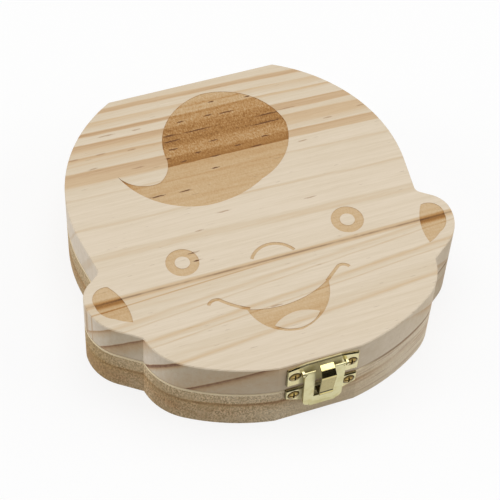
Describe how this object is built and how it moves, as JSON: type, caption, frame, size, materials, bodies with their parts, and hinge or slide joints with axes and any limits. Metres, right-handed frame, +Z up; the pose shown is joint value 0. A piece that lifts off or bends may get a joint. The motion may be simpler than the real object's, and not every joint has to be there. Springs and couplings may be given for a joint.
{
  "type": "baby tooth box",
  "caption": "Wooden keepsake box in the outline of a baby's head, with a hinged engraved lid, a brass swing clasp and a tray of round tooth pockets.",
  "frame": {"origin": "centre of the tray's underside, midway between the chin's flat and the back's flat", "axes": "+Z up out of the lid, -Y towards the chin and the clasp, +X towards the ear at the viewer's right"},
  "size_m": [0.1202, 0.1249, 0.028],
  "materials": {
    "lid": "bare sanded pine, drawing burnt in",
    "tray": "bare milled pine",
    "clasp": "pale brass plate, satin",
    "hinge": "pale brass plate, satin",
    "screws": "brass, darker than the plates"
  },
  "bodies": {
    "tray": {"tray": "tray", "catch_plate": "clasp", "catch_tongue": "clasp", "catch_screws": "screws", "tray_leaf_left": "hinge", "tray_leaf_right": "hinge", "tray_leaf_screws_left": "screws", "tray_leaf_screws_right": "screws", "hinge_pin_left": "hinge", "hinge_pin_right": "hinge"},
    "lid": {"lid": "lid", "hasp_plate": "clasp", "hasp_screws": "screws", "lid_leaf_left": "hinge", "lid_leaf_right": "hinge", "lid_leaf_screws_left": "screws", "lid_leaf_screws_right": "screws"},
    "frame": {"clasp_frame": "clasp"}
  },
  "joints": [
    {"name": "lid_hinge", "type": "hinge", "parent": "tray", "child": "lid", "pos_m": [0, 0.0598, 0.0156], "axis": [-1, 0, 0], "range_deg": [0, 180]},
    {"name": "clasp_swing", "type": "hinge", "parent": "lid", "child": "frame", "pos_m": [0.00095, -0.06045, 0.0245], "axis": [-1, 0, 0], "range_deg": [0, 170], "deforming": ["catch_tongue"]}
  ]
}
